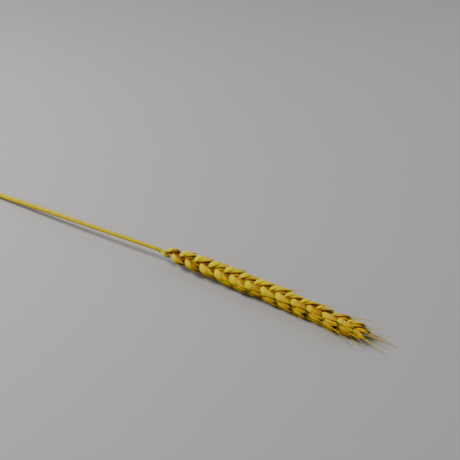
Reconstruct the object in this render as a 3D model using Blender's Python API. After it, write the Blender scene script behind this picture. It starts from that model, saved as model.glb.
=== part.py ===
"""An ear of wheat on a length of its cut straw, lying on a table.

The ear carries its spikelets in two rows, turn and turn about. Each spikelet is a fan of two glumes and
three florets, and the last one closes the tip and is turned a quarter round. The ear lies on the keels of
its near row, with its broad face turned up and towards the front, and the straw's cut end is the third
place that it rests on. +X runs towards the tip of the ear, and +Z is up.
"""

import math

import bmesh
import bpy
import numpy as np
from mathutils import Vector

MM = 0.001
WELD = 0.001 * MM
TABLE_SIZE = 400 * MM

# The ear, measured along its own line from the collar where it joins the straw
SIDE_SPIKELETS = 26
FIRST_NODE = 3.0 * MM
INTERNODE = 4.45 * MM
LAST_INTERNODE = 3.9 * MM
FIRST_STEP_CUT = 0.38
FIRST_STEPS = 1.8
STUNTING = 0.55
STUNTED_SPIKELETS = 2.6
TIP_SHRINK = 0.22
EAR_SWEEP = 6.5 * MM
BASE_HEIGHT = 6.0 * MM
TIP_HEIGHT = 3.6 * MM
FACE_TILT_AT_BASE = math.radians(42)
FACE_TILT_AT_TIP = math.radians(-9)

# The rachis, the flattened zigzag stalk inside the ear
RACHIS_RADIUS = 0.95 * MM
RACHIS_TIP_RADIUS = 0.5 * MM
RACHIS_ZIGZAG = 0.35 * MM
COLLAR_RADIUS = 1.25 * MM
COLLAR_MIDDLE = 0.9 * MM
COLLAR_END = 1.9 * MM
RACHIS_ROUNDING = 1

# The straw
STRAW_LENGTH = 118 * MM
STRAW_SWEEP = 4.5 * MM
STRAW_TOP_RADIUS = 1.0 * MM
STRAW_CUT_RADIUS = 1.35 * MM
STRAW_BORE_RADIUS = 0.85 * MM
STRAW_BORE_DEPTH = 5 * MM
STRAW_STEPS = 30
STRAW_ROUNDING = 4
BORE_ROUNDING = 2
STRAW_PRESS = 0.04 * MM
JOINT_GAP = 0.3 * MM

# The scales of a spikelet in the middle of the ear, in mm and degrees. root says where a scale starts:
# towards the face, outwards and up the spikelet. It leans by splay towards the face and by flare outwards,
# its back is turned by facing from the face to the outside, and sway and vary are how unlike they are.
# Towards the tip the spikelets open, and fanning is how much the splay grows there.
SPREAD = 19.0
SPREAD_SWAY = 2.5
GLUME = {
    "length": 6.9,
    "half_width": 2.15,
    "depth": 1.8,
    "bow": 0.13,
    "widest": 0.47,
    "root": (0.9, -0.3, -0.6),
    "splay": 12.0,
    "flare": 13.0,
    "facing": 38.0,
    "sway": 2.0,
    "vary": 0.02,
}
LEMMA = {
    "length": 11.5,
    "half_width": 1.85,
    "depth": 1.3,
    "bow": 0.09,
    "widest": 0.36,
    "root": (0.25, -0.2, -0.4),
    "splay": 10.0,
    "flare": -1.0,
    "facing": 30.0,
    "sway": 2.5,
    "vary": 0.05,
}
MIDDLE_LEMMA = {
    "length": 10.5,
    "half_width": 1.4,
    "depth": 1.25,
    "bow": 0.08,
    "widest": 0.36,
    "root": (0.0, 0.3, -0.3),
    "splay": 0.0,
    "flare": 4.0,
    "facing": 90.0,
    "sway": 3.5,
    "vary": 0.06,
}
FANNING = 0.9
BLUNTNESS = 0.5
FRONT_SHARE = 0.55
SCALE_SIDES = 6
SCALE_RINGS = (0.08, 0.33, 0.64, 0.88)
MIDDLE_RINGS = (0.12, 0.46, 0.8)

# An awn is a bristle that runs on from the tip of a lemma
FIRST_AWNED = 15
SHORT_AWN = 5.5 * MM
LONG_AWN = 10.5 * MM
TIP_AWN_SHARES = (1.2, 0.95, 0.75)
FIRST_TWICE_AWNED = 19
MIDDLE_AWN_SHARE = 0.85
AWN_BEND = math.radians(12)
AWN_VARY = 0.15
AWN_RADIUS = 0.26 * MM
AWN_END_RADIUS = 0.07 * MM
AWN_SINK = 1.6 * MM
AWN_AIM = 0.85
AWN_CLEARANCE = 0.35 * MM
AWN_SIDES = 3
AWN_RINGS = (0.03, 0.35, 0.7)

# Which scale is which in a spikelet's list
UPPER_LEMMA = 1
LOWER_LEMMA = 3
MIDDLE = 4
SEED = 23

STRAW_YELLOW = (0.62, 0.43, 0.055, 1.0)
STRAW_ROUGHNESS = 0.45
EAR_YELLOW = (0.72, 0.46, 0.02, 1.0)
EAR_ROUGHNESS = 0.6


def node_places():
    """Distance along the ear of each spikelet's node: short steps at the base, long ones after, and
    then a little shorter again towards the tip."""
    steps = np.linspace(INTERNODE, LAST_INTERNODE, SIDE_SPIKELETS)
    steps = steps * (1 - FIRST_STEP_CUT * np.exp(-np.arange(SIDE_SPIKELETS) / FIRST_STEPS))
    return FIRST_NODE + np.concatenate([[0.0], np.cumsum(steps)])


NODES = node_places()
EAR_LENGTH = NODES[-1] + LEMMA["length"] * MM
DRAW = np.random.default_rng(SEED).uniform(-1.0, 1.0, (SIDE_SPIKELETS + 1, 8))


def eased(x):
    """Share of the way from the base of the ear, 0, to its tip, 1, starting and ending gently."""
    t = min(max(x / EAR_LENGTH, 0.0), 1.0)
    return t * t * (3 - 2 * t)


def spine(x):
    """The line through the straw and the ear: the ear bends forwards and sinks, and the straw rises to it."""
    if x >= 0:
        height = BASE_HEIGHT + (TIP_HEIGHT - BASE_HEIGHT) * eased(x)
        return Vector((x, -EAR_SWEEP * (x / EAR_LENGTH) ** 2, height))
    back = x / STRAW_LENGTH
    height = BASE_HEIGHT + (STRAW_CUT_RADIUS - STRAW_PRESS - BASE_HEIGHT) * back * back
    return Vector((x, STRAW_SWEEP * back * back, height))


def face_tilt(x):
    """How far the broad face leans towards the front: it eases from the base to the tip."""
    return FACE_TILT_AT_BASE + (FACE_TILT_AT_TIP - FACE_TILT_AT_BASE) * eased(x)


def ear_frame(x):
    """The point at x, with the directions along the ear, across its rows, and out of its broad face."""
    step = 0.1 * MM
    along = (spine(x + step) - spine(x - step)).normalized()
    up = (Vector((0, 0, 1)) - along * along.z).normalized()
    across = up.cross(along)
    tilt = face_tilt(x)
    return (
        spine(x),
        along,
        across * math.cos(tilt) + up * math.sin(tilt),
        up * math.cos(tilt) - across * math.sin(tilt),
    )


def spikelet_size(index):
    """The lowest spikelets are stunted, the middle ones full, and the last ones a little smaller."""
    low = 1.0 - STUNTING * math.exp(-index / STUNTED_SPIKELETS)
    return low * (1.0 - TIP_SHRINK * (index / SIDE_SPIKELETS) ** 3)


def turned(a, b, degrees):
    """The unit vector at an angle from a, on the way to b."""
    angle = math.radians(degrees)
    return (a * math.cos(angle) + b * math.sin(angle)).normalized()


def boat_scale(kind, foot, axis, wide, outward, size, fanning, sway, vary):
    """One boat-shaped scale of a spikelet: where it starts, which way it points and which way its back is."""
    to_face, to_side, up = kind["root"]
    flared = turned(axis, outward, kind["flare"])
    along = turned(flared, wide, kind["splay"] * fanning + kind["sway"] * sway)
    facing = turned(wide, outward, kind["facing"])
    return {
        "root": foot + (wide * to_face + outward * to_side + axis * up) * MM * size,
        "along": along,
        "back": (facing - along * facing.dot(along)).normalized(),
        "length": kind["length"] * MM * size * (1 + kind["vary"] * vary),
        "half_width": kind["half_width"] * MM * size,
        "depth": kind["depth"] * MM * size,
        "bow": kind["bow"],
        "widest": kind["widest"],
    }


def spikelet(index):
    """The five scales of a spikelet: a glume and a floret on each face, and one floret in the middle."""
    centre, along, across, face = ear_frame(NODES[index])
    draw = DRAW[index]
    size = spikelet_size(index)
    if index == SIDE_SPIKELETS:
        lean, side, fan, foot = 0.0, face, across, centre
    else:
        side = across * (1 if index % 2 else -1)
        lean, fan, foot = SPREAD + SPREAD_SWAY * draw[0], face, centre + side * RACHIS_ZIGZAG
    axis = turned(along, side, lean)
    outward = turned(side, along, -lean)
    open_by = 1 + FANNING * eased(NODES[index])
    scales = []
    for wide, sways in ((fan, draw[1:3]), (-fan, draw[3:5])):
        scales.append(boat_scale(GLUME, foot, axis, wide, outward, size, open_by, sways[0], sways[1]))
        scales.append(boat_scale(LEMMA, foot, axis, wide, outward, size, open_by, sways[1], draw[5]))
    scales.append(boat_scale(MIDDLE_LEMMA, foot, axis, fan, outward, size, open_by, draw[6], draw[7]))
    return scales


def scale_centre(scale, u):
    """The centre line of a scale: it bows towards the scale's back."""
    rise = scale["bow"] * 4 * u * (1 - u)
    return scale["root"] + (scale["along"] * u + scale["back"] * rise) * scale["length"]


def swell(u, widest):
    """Width along a scale, 0 at both ends and 1 where it is widest: a round base and a drawn-out point."""
    fall = BLUNTNESS * (1 - widest) / widest
    return (u / widest) ** BLUNTNESS * ((1 - u) / (1 - widest)) ** fall


def scale_point(scale, u, turn):
    """A point of the scale's skin: an ellipse with a ridge along the back and a flatter front."""
    across = scale["along"].cross(scale["back"])
    size = swell(u, scale["widest"])
    reach = scale["depth"] * size * (1.0 if math.cos(turn) > 0 else FRONT_SHARE)
    return (
        scale_centre(scale, u)
        + across * scale["half_width"] * size * math.sin(turn)
        + scale["back"] * reach * math.cos(turn)
    )


def ringed_body(name, sides, rings, start, end, ring_point):
    """A closed body from a UV sphere: its poles go to start and end, and each ring to ring_point(u, turn)."""
    mesh = bpy.data.meshes.new(name)
    bm = bmesh.new()
    bmesh.ops.create_uvsphere(bm, u_segments=sides, v_segments=len(rings) + 1, radius=1.0)
    for vertex in bm.verts:
        polar = math.acos(max(-1.0, min(1.0, -vertex.co.z)))
        ring = round(polar / math.pi * (len(rings) + 1))
        turn = math.atan2(vertex.co.y, vertex.co.x)
        if ring == 0:
            vertex.co = start
        elif ring == len(rings) + 1:
            vertex.co = end
        else:
            vertex.co = ring_point(rings[ring - 1], turn)
    bmesh.ops.triangulate(bm, faces=bm.faces[:])
    bmesh.ops.recalc_face_normals(bm, faces=bm.faces[:])
    bm.to_mesh(mesh)
    bm.free()
    return bpy.data.objects.new(name, mesh)


def scale_body(name, scale, rings):
    """One scale as a closed body, with its ends on its centre line."""
    return ringed_body(
        name,
        SCALE_SIDES,
        rings,
        scale_centre(scale, 0.0),
        scale_centre(scale, 1.0),
        lambda u, turn: scale_point(scale, u, turn),
    )


def awns():
    """Where the awns grow: (spikelet, scale in it, length, bend). They lengthen towards the tip, take turns
    between the two faces, and the last spikelets have a second one on the middle lemma."""
    places = []
    for index in range(FIRST_AWNED, SIDE_SPIKELETS):
        share = (index - FIRST_AWNED) / (SIDE_SPIKELETS - FIRST_AWNED)
        which = LOWER_LEMMA if index % 4 < 2 else UPPER_LEMMA
        length = (SHORT_AWN + (LONG_AWN - SHORT_AWN) * share) * (1 + AWN_VARY * DRAW[index][7])
        places.append((index, which, length, AWN_BEND * (1 - share)))
        if index >= FIRST_TWICE_AWNED:
            places.append((index, MIDDLE, length * MIDDLE_AWN_SHARE, AWN_BEND))
    for which, share in zip((UPPER_LEMMA, LOWER_LEMMA, MIDDLE), TIP_AWN_SHARES):
        places.append((SIDE_SPIKELETS, which, LONG_AWN * share, 0.0))
    return places


def awn_body(name, place):
    """A thin bristle: it carries on from its lemma, bends outwards, and stays above the table."""
    index, which, length, bend = place
    scale = spikelet(index)[which]
    tip = scale_centre(scale, 1.0)
    along = (tip - scale_centre(scale, AWN_AIM)).normalized()
    _, ear_along, _, _ = ear_frame(NODES[index])
    outward = (along - ear_along * along.dot(ear_along)).normalized()
    side = along.cross(outward).normalized()
    reach = length + AWN_SINK

    def centre(u):
        far = reach * u
        point = tip + along * (far - AWN_SINK) + outward * math.tan(bend) * far * u
        point.z = max(point.z, AWN_CLEARANCE)
        return point

    def ring_point(u, turn):
        radius = AWN_RADIUS + (AWN_END_RADIUS - AWN_RADIUS) * u
        return centre(u) + (outward * math.cos(turn) + side * math.sin(turn)) * radius

    return ringed_body(name, AWN_SIDES, AWN_RINGS, centre(0.0), centre(1.0), ring_point)


def tube(name, points, radii, resolution):
    """A tube through points with a radius at each, as a mesh with its caps welded on."""
    curve = bpy.data.curves.new(name, "CURVE")
    curve.dimensions = "3D"
    curve.bevel_depth = 1.0
    curve.bevel_resolution = resolution
    curve.use_fill_caps = True
    spline = curve.splines.new("POLY")
    spline.points.add(len(points) - 1)
    for spot, point, radius in zip(spline.points, points, radii):
        spot.co = (*point, 1.0)
        spot.radius = radius
    drawn = bpy.data.objects.new(name, curve)
    bpy.context.scene.collection.objects.link(drawn)
    graph = bpy.context.evaluated_depsgraph_get()
    mesh = bpy.data.meshes.new_from_object(drawn.evaluated_get(graph))
    bpy.data.objects.remove(drawn)
    bm = bmesh.new()
    bm.from_mesh(mesh)
    bmesh.ops.remove_doubles(bm, verts=bm.verts[:], dist=WELD)
    bmesh.ops.recalc_face_normals(bm, faces=bm.faces[:])
    bm.to_mesh(mesh)
    bm.free()
    mesh.name = name
    return bpy.data.objects.new(name, mesh)


def rachis():
    """The stalk inside the ear, with a collar at its foot and a small step to each side at every node."""
    points = [spine(JOINT_GAP / 2), spine(COLLAR_MIDDLE), spine(COLLAR_END)]
    radii = [RACHIS_RADIUS, COLLAR_RADIUS, RACHIS_RADIUS]
    for index in range(SIDE_SPIKELETS + 1):
        centre, _, across, _ = ear_frame(NODES[index])
        step = RACHIS_ZIGZAG * (1 if index % 2 else -1)
        share = index / SIDE_SPIKELETS
        points.append(centre + across * step)
        radii.append(RACHIS_RADIUS + (RACHIS_TIP_RADIUS - RACHIS_RADIUS) * share)
    return tube("rachis", points, radii, RACHIS_ROUNDING)


def joined(body, others, operation):
    """Runs one Boolean on body with every object of a collection, applies it, and removes the collection."""
    modifier = body.modifiers.new("join", "BOOLEAN")
    modifier.operation = operation
    modifier.operand_type = "COLLECTION"
    modifier.collection = others
    modifier.solver = "MANIFOLD"
    bpy.context.view_layer.update()
    graph = bpy.context.evaluated_depsgraph_get()
    mesh = bpy.data.meshes.new_from_object(body.evaluated_get(graph))
    body.modifiers.remove(modifier)
    body.data = mesh
    for other in list(others.objects):
        bpy.data.objects.remove(other)
    bpy.data.collections.remove(others)


def keep_largest_shell(obj):
    """Drops loose scraps and fills sealed hollows: only the outer shell, the one with most faces, stays."""
    bm = bmesh.new()
    bm.from_mesh(obj.data)
    left = set(bm.faces)
    shells = []
    while left:
        start = left.pop()
        shell, edge_of = [start], [start]
        while edge_of:
            for edge in edge_of.pop().edges:
                for face in edge.link_faces:
                    if face in left:
                        left.remove(face)
                        shell.append(face)
                        edge_of.append(face)
        shells.append(shell)
    shells.sort(key=len)
    bmesh.ops.delete(bm, geom=[f for shell in shells[:-1] for f in shell], context="FACES")
    bm.to_mesh(obj.data)
    bm.free()


def collection(name, objects):
    """A new collection in the scene that holds the objects."""
    made = bpy.data.collections.new(name)
    bpy.context.scene.collection.children.link(made)
    for obj in objects:
        made.objects.link(obj)
    return made


def table_cutter():
    """A block under the table's surface: it presses flat what would reach below."""
    mesh = bpy.data.meshes.new("table_cutter")
    bm = bmesh.new()
    bmesh.ops.create_cube(bm, size=TABLE_SIZE)
    bmesh.ops.translate(bm, verts=bm.verts[:], vec=(0, 0, -TABLE_SIZE / 2))
    bm.to_mesh(mesh)
    bm.free()
    return bpy.data.objects.new("table_cutter", mesh)


def ear():
    """The whole ear as one body: the rachis with every scale and awn sunk into it or into its scale."""
    body = rachis()
    body.name = body.data.name = "ear"
    bpy.context.scene.collection.objects.link(body)
    parts = []
    for index in range(SIDE_SPIKELETS + 1):
        for which, scale in enumerate(spikelet(index)):
            rings = MIDDLE_RINGS if which == MIDDLE else SCALE_RINGS
            parts.append(scale_body(f"scale_{index}_{which}", scale, rings))
    for number, place in enumerate(awns()):
        parts.append(awn_body(f"awn_{number}", place))
    joined(body, collection("scales", parts), "UNION")
    joined(body, collection("below_table", [table_cutter()]), "DIFFERENCE")
    keep_largest_shell(body)
    return body


def straw():
    """The straw: a tube that thickens towards its cut end, where its bore shows."""
    places = np.linspace(-STRAW_LENGTH, -JOINT_GAP / 2, STRAW_STEPS)
    points = [spine(x) for x in places]
    radii = np.interp(places, [-STRAW_LENGTH, 0], [STRAW_CUT_RADIUS, STRAW_TOP_RADIUS])
    body = tube("straw", points, radii, STRAW_ROUNDING)
    bpy.context.scene.collection.objects.link(body)
    inward = (points[1] - points[0]).normalized()
    ends = [points[0] - inward * MM, points[0] + inward * STRAW_BORE_DEPTH]
    bore = tube("bore", ends, [STRAW_BORE_RADIUS] * 2, BORE_ROUNDING)
    joined(body, collection("cutters", [bore, table_cutter()]), "DIFFERENCE")
    return body


def finish_in(obj, name, colour, roughness):
    """Gives the object one plain dry finish."""
    material = bpy.data.materials.new(name)
    material.use_nodes = True
    shader = material.node_tree.nodes["Principled BSDF"]
    shader.inputs["Base Color"].default_value = colour
    shader.inputs["Roughness"].default_value = roughness
    shader.inputs["Metallic"].default_value = 0.0
    obj.data.materials.clear()
    obj.data.materials.append(material)


def centre_on_origin(objects):
    """Moves the meshes so that the box round them all is centred on the origin in X and Y."""
    corners = np.array([v.co for obj in objects for v in obj.data.vertices])
    middle = (corners.min(axis=0) + corners.max(axis=0)) / 2
    for obj in objects:
        for vertex in obj.data.vertices:
            vertex.co.x -= middle[0]
            vertex.co.y -= middle[1]


def main():
    for obj in list(bpy.data.objects):
        bpy.data.objects.remove(obj)
    head = ear()
    stalk = straw()
    finish_in(head, "ear_yellow", EAR_YELLOW, EAR_ROUGHNESS)
    finish_in(stalk, "straw_yellow", STRAW_YELLOW, STRAW_ROUGHNESS)
    centre_on_origin([head, stalk])
    home = bpy.data.collections.new("wheat_ear")
    bpy.context.scene.collection.children.link(home)
    for obj in (head, stalk):
        bpy.context.scene.collection.objects.unlink(obj)
        home.objects.link(obj)
    stalk.data.shade_smooth()


main()
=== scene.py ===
"""Looks of a dried wheat ear: thin husks, bristles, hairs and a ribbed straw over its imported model.

Lengths are in metres and angles in degrees unless a name says otherwise. The ear is laid out along its own
line, from the collar at 0 to its tip, with the straw on the negative side, and is then moved to where the
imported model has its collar.
"""

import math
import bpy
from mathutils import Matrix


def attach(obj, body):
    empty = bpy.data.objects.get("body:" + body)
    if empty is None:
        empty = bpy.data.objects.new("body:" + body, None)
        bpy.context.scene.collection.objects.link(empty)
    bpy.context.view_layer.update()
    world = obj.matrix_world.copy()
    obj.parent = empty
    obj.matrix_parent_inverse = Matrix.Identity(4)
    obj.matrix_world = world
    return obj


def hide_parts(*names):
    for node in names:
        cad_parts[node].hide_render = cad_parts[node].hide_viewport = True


bl_info = {
    "name": "Wheat ear",
    "version": (1, 0, 0),
    "blender": (4, 5, 0),
    "location": "View3D > Sidebar > Wheat ear",
    "description": "Dresses a packed wheat ear with thin husks, bristles, hairs and a ribbed straw",
    "category": "Add Mesh",
}

import bpy
import numpy as np
from mathutils import Vector

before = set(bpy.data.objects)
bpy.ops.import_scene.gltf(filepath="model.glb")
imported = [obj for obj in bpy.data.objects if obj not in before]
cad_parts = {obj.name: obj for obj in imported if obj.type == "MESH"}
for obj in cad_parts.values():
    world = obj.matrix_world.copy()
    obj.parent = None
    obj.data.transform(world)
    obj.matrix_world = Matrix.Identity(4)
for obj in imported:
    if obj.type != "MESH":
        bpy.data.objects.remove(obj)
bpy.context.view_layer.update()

MM = 0.001

# The ear's line and its spikelets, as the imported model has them
SIDE_SPIKELETS = 26
FIRST_NODE = 3.0 * MM
INTERNODE = 4.45 * MM
LAST_INTERNODE = 3.9 * MM
FIRST_STEP_CUT = 0.38
FIRST_STEPS = 1.8
STUNTING = 0.55
STUNTED_SPIKELETS = 2.6
TIP_SHRINK = 0.22
EAR_SWEEP = 6.5 * MM
BASE_HEIGHT = 6.0 * MM
TIP_HEIGHT = 3.6 * MM
FACE_TILT_AT_BASE = 42.0
FACE_TILT_AT_TIP = -9.0
RACHIS_RADIUS = 0.95 * MM
RACHIS_TIP_RADIUS = 0.5 * MM
RACHIS_ZIGZAG = 0.35 * MM
COLLAR_RADIUS = 1.25 * MM
STRAW_LENGTH = 118 * MM
STRAW_SWEEP = 4.5 * MM
STRAW_TOP_RADIUS = 1.0 * MM
STRAW_CUT_RADIUS = 1.35 * MM
STRAW_BORE_RADIUS = 0.85 * MM
STRAW_BORE_DEPTH = 5 * MM
STRAW_PRESS = 0.04 * MM
JOINT_GAP = 0.3 * MM
LINE_STEP = 0.1 * MM
SPREAD = 19.0
SPREAD_SWAY = 2.5
BLUNTNESS = 0.5
FANNING = 0.9
SEED = 23

# The scales of a spikelet, in mm: root says where a scale starts, towards the face, outwards and up the
# spikelet; splay, flare and facing are angles; sway and vary are how unlike the scales are
GLUME = {
    "length": 8.4,
    "half_width": 2.15,
    "depth": 1.58,
    "bow": 0.1,
    "widest": 0.45,
    "root": (0.85, -0.3, -0.6),
    "splay": 11.5,
    "flare": 10.5,
    "facing": 38.0,
    "sway": 2.0,
    "vary": 0.02,
}
LEMMA = {
    "length": 11.5,
    "half_width": 1.85,
    "depth": 1.15,
    "bow": 0.09,
    "widest": 0.36,
    "root": (0.25, -0.2, -0.4),
    "splay": 10.0,
    "flare": -1.0,
    "facing": 30.0,
    "sway": 2.5,
    "vary": 0.05,
}
MIDDLE_LEMMA = {
    "length": 10.5,
    "half_width": 1.4,
    "depth": 1.25,
    "bow": 0.08,
    "widest": 0.36,
    "root": (0.0, 0.3, -0.3),
    "splay": 0.0,
    "flare": 4.0,
    "facing": 90.0,
    "sway": 3.5,
    "vary": 0.06,
}

# How much shorter and narrower the glumes are at the ear's tip
GLUME_SHORTENING = 0.26
GLUME_NARROWING = 0.14

# A pair between the side lemmas and the middle one, from the first full spikelet on
UPPER_LEMMA = {
    "length": 9.2,
    "half_width": 1.3,
    "depth": 1.0,
    "bow": 0.07,
    "widest": 0.36,
    "root": (0.2, 0.45, 1.2),
    "splay": 7.0,
    "flare": 2.0,
    "facing": 58.0,
    "sway": 6.0,
    "vary": 0.09,
}
FIRST_FULL = 5

# A pair low in the groove between the rows, which closes it over the rachis from the second spikelet on
INNER_LEMMA = {
    "length": 9.0,
    "half_width": 1.45,
    "depth": 0.95,
    "bow": 0.05,
    "widest": 0.4,
    "root": (0.5, -0.9, 0.8),
    "splay": 8.0,
    "flare": -8.0,
    "facing": 15.0,
    "sway": 5.0,
    "vary": 0.09,
}
FIRST_CLOSED = 1

# A pair inside each full spikelet, which fills the gaps between the tips of the others
CORE_LEMMA = {
    "length": 9.0,
    "half_width": 1.7,
    "depth": 1.25,
    "bow": 0.05,
    "widest": 0.45,
    "root": (0.1, 0.2, 2.2),
    "splay": 6.0,
    "flare": -1.0,
    "facing": 48.0,
    "sway": 4.0,
    "vary": 0.08,
}

# The awns, which run on from the tips of lemmas
FIRST_AWNED = 15
SHORT_AWN = 5.5 * MM
LONG_AWN = 10.5 * MM
TIP_AWN_SHARES = (1.2, 0.95, 0.75)
FIRST_TWICE_AWNED = 19
MIDDLE_AWN_SHARE = 0.85
AWN_BEND = 12.0
AWN_VARY = 0.15
AWN_DIRECTION_FROM = 0.85
AWN_SINK = 1.6 * MM
AWN_CLEARANCE = 0.35 * MM
AWN_POINTS = 30
AWN_AROUND = 8
AWN_BARBS = 14
BARB_HEIGHT = 0.16
AWN_FOOT = 0.25
AWN_FOOT_STRETCH = 0.22

# How a husk is drawn: rings along it, points round its back and round its hollow front, and its open angle
HUSK_RINGS = 20
INNER_RINGS = 13
BACK_POINTS = 35
HOLLOW_POINTS = 7
GLUME_ARC = 104.0
LEMMA_ARC = 118.0
PALEA_ARC = 88.0
BEAK_WIDTH = 0.1
BEAK_DIRECTION_FROM = 0.97
GLUME_BEAK = 0.07
LEMMA_BEAK = 0.12
BEAK_GROWTH = 1.6
TWIST = 9.0
TWIST_CENTRE = 0.4
WAVE = 0.03
WAVE_RATE = 5
WAVE_SHIFT = 3
VEINS = 9
HOLLOW_DRAW = 1.5
FLOOR_SOFTNESS = 0.03 * MM

# The keel between its two shallow grooves: its offset from the middle, and the spread of both, in radians
KEEL_OFFSET = 0.3
KEEL_SPREAD = 0.017
GROOVE_SPREAD = 0.145
GROOVE_SHARE = 0.55
KEEL_RISE = 0.6
LEMMA_KEEL_SHARE = 0.4

# A palea beside its lemma, as shares of the lemma's sizes and of its veins
PALEA_LENGTH = 0.9
PALEA_WIDTH = 0.8
PALEA_DEPTH = 0.5
PALEA_VEIN_SHARE = 0.5

# How much darker a husk is along its margins, in its hollow, towards its tip and at its root: painted
# shade in the hollow and at the root, and at the margins and tip partly painted shade, partly its own colour
MARGIN_SHADE = 0.45
HOLLOW_SHADE = 0.5
TIP_SHADE = 0.2
TIP_SHADE_START = 0.6
ROOT_SHADE = 0.4
ROOT_SHADE_END = 0.15
MOST_SHADE = 0.9
ROOT_POINT_LIGHT = 0.6

# The painted shade deep in the ear reaches out to these outermost husks
# How far from the ear's line its outermost husks lie, and how that shrinks over a stretch at either end
OUTERMOST = 4.2 * MM
PAST_TIP = 4 * MM
TIP_STRETCH = 30 * MM
LEAST_AT_TIP = 0.2
BEFORE_COLLAR = 5 * MM
COLLAR_STRETCH = 18 * MM
LEAST_AT_COLLAR = 0.3

# How the rachis and the hairs at its nodes are drawn
RACHIS_STEPS = 16
RACHIS_AROUND = 20
RACHIS_NECK = 0.82
RACHIS_FLATNESS = 0.3
COLLAR_MIDDLE = 0.9 * MM
COLLAR_SPREAD = 0.45 * MM
HAIRS_PER_NODE = 16
HAIR_RADIUS = 0.028 * MM
HAIR_TAPER = 0.75
HAIR_STRAY = 0.5 * MM
HAIR_MARGIN = 0.5 * MM
HAIR_BAND = 0.7 * MM
HAIR_LEAN, HAIR_LEAN_SWAY = 0.5, 0.3
HAIR_REACH, HAIR_REACH_SWAY = 0.7, 0.3
HAIR_BEND = 0.3
HAIR_SHARES = (0.0, 0.4, 0.8)

# How the straw is drawn, with the torn edge of its cut, and how many waves of both go round it
STRAW_AROUND = 96
STRAW_RINGS = 150
BORE_RINGS = 10
BORE_LIP = 0.1 * MM
CUT_ROUNDING = 0.05 * MM
TEAR = 0.3 * MM
TEAR_REACH = 0.35 * MM
TEAR_END = 2 * MM
TEAR_WAVES = (3, 7, 13)
FINE_TEAR_SHARE = 0.4
TEAR_MIDDLE = 0.9
RIB_WAVES = (22, 37)
FINE_RIB_SHARE = 0.5

# The dry fibre's pattern: the shares of broad and fine streaks, of a husk's own tone and of the blotches in
# its value, the middle that is taken off, and how the depth in the ear weighs, which is painted shade
BROAD_SHARE = 0.55
FINE_SHARE = 0.5
TONE_SHARE = 0.34
BLOTCH_SHARE = 0.4
PATTERN_MIDDLE = 0.89
BLOTCH_SCALE = 260.0
FINE_STEP = 3.2
PAINTED_SHADE_MIDDLE = 0.6
PAINTED_SHADE_CONTRAST = 1.7
BASE_VALUE = 0.55
WARMING = 4.5
WARM_TINT = (1.0, 0.8, 0.55, 1.0)
ROUGHNESS = 0.66
FINE_ROUGHNESS = -0.25
BROAD_HEIGHT = 0.6
FINE_HEIGHT = 0.4
BUMP_DISTANCE = 0.25 * MM

# The stage
FLOOR_HALF = 3.0
FLOOR_ROUGHNESS = 0.85
MOTTLE = 0.03
MOTTLE_SCALE = 6.0
KEY_PLACE, KEY_SIZE = (-0.42, -0.12, 0.52), 0.30
FILL_PLACE, FILL_SIZE = (0.30, 0.45, 0.40), 0.5
LIT_PLACE = (0.04, 0.0, 0.0)
SKY_COLOUR = (1.0, 0.985, 0.96, 1.0)
SENSOR_WIDTH = 36.0


def nodes_along():
    """Distance of each spikelet's node: steps that start short and end a little shorter than the middle."""
    steps = np.linspace(INTERNODE, LAST_INTERNODE, SIDE_SPIKELETS)
    steps = steps * (1 - FIRST_STEP_CUT * np.exp(-np.arange(SIDE_SPIKELETS) / FIRST_STEPS))
    return FIRST_NODE + np.concatenate([[0.0], np.cumsum(steps)])


NODES = nodes_along()
EAR_LENGTH = NODES[-1] + LEMMA["length"] * MM

# Random draws from -1 to 1, one row for each spikelet
DRAW = np.random.default_rng(SEED).uniform(-1.0, 1.0, (SIDE_SPIKELETS + 1, 8))


def collar_place():
    """Shift from the ear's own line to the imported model: the straw's top ring is half a gap behind 0."""
    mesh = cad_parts["straw"].data
    points = np.empty(len(mesh.vertices) * 3)
    mesh.vertices.foreach_get("co", points)
    points = points.reshape(-1, 3)
    ring = points[points[:, 0] > points[:, 0].max() - 0.01 * MM]
    return np.array([ring[:, 0].max() + JOINT_GAP / 2, (ring[:, 1].min() + ring[:, 1].max()) / 2, 0.0])


COLLAR = collar_place()


def unit(v):
    """Vectors scaled to length 1."""
    return v / np.linalg.norm(v, axis=-1, keepdims=True)


def column(values):
    """One number per row, ready to multiply rows of vectors."""
    return np.asarray(values)[..., None]


def turned(a, b, degrees):
    """Unit vectors at an angle from a on the way to b: a cos + b sin."""
    angle = column(np.radians(degrees) * np.ones(len(a)))
    return unit(a * np.cos(angle) + b * np.sin(angle))


def eased(share):
    """3t^2 - 2t^3, for t kept between 0 and 1."""
    t = np.clip(share, 0.0, 1.0)
    return t * t * (3 - 2 * t)


def spine(x):
    """Points of the ear's line: it bends sideways with the square of x, and its height eases from collar to
    tip. The straw's side bend and height go with the square of the way back to its cut."""
    x = np.asarray(x, float)
    ahead = np.maximum(x, 0) / EAR_LENGTH
    behind = np.minimum(x, 0) / STRAW_LENGTH
    rise = (TIP_HEIGHT - BASE_HEIGHT) * eased(ahead)
    drop = (STRAW_CUT_RADIUS - STRAW_PRESS - BASE_HEIGHT) * behind**2
    y = STRAW_SWEEP * behind**2 - EAR_SWEEP * ahead**2
    return np.stack([x, y, BASE_HEIGHT + rise + drop], axis=-1)


def line_frames(x):
    """Points of the line with its direction, the direction across the rows and that out of the broad face.
    The last two start level and upright, and turn about the line by the face's tilt."""
    along = unit(spine(x + LINE_STEP) - spine(x - LINE_STEP))
    up = unit(np.array([0.0, 0.0, 1.0]) - along * along[..., 2:3])
    across = np.cross(up, along)
    ahead = np.maximum(x, 0) / EAR_LENGTH
    tilt = column(np.radians(FACE_TILT_AT_BASE + (FACE_TILT_AT_TIP - FACE_TILT_AT_BASE) * eased(ahead)))
    return (
        spine(x),
        along,
        across * np.cos(tilt) + up * np.sin(tilt),
        up * np.cos(tilt) - across * np.sin(tilt),
    )


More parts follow.
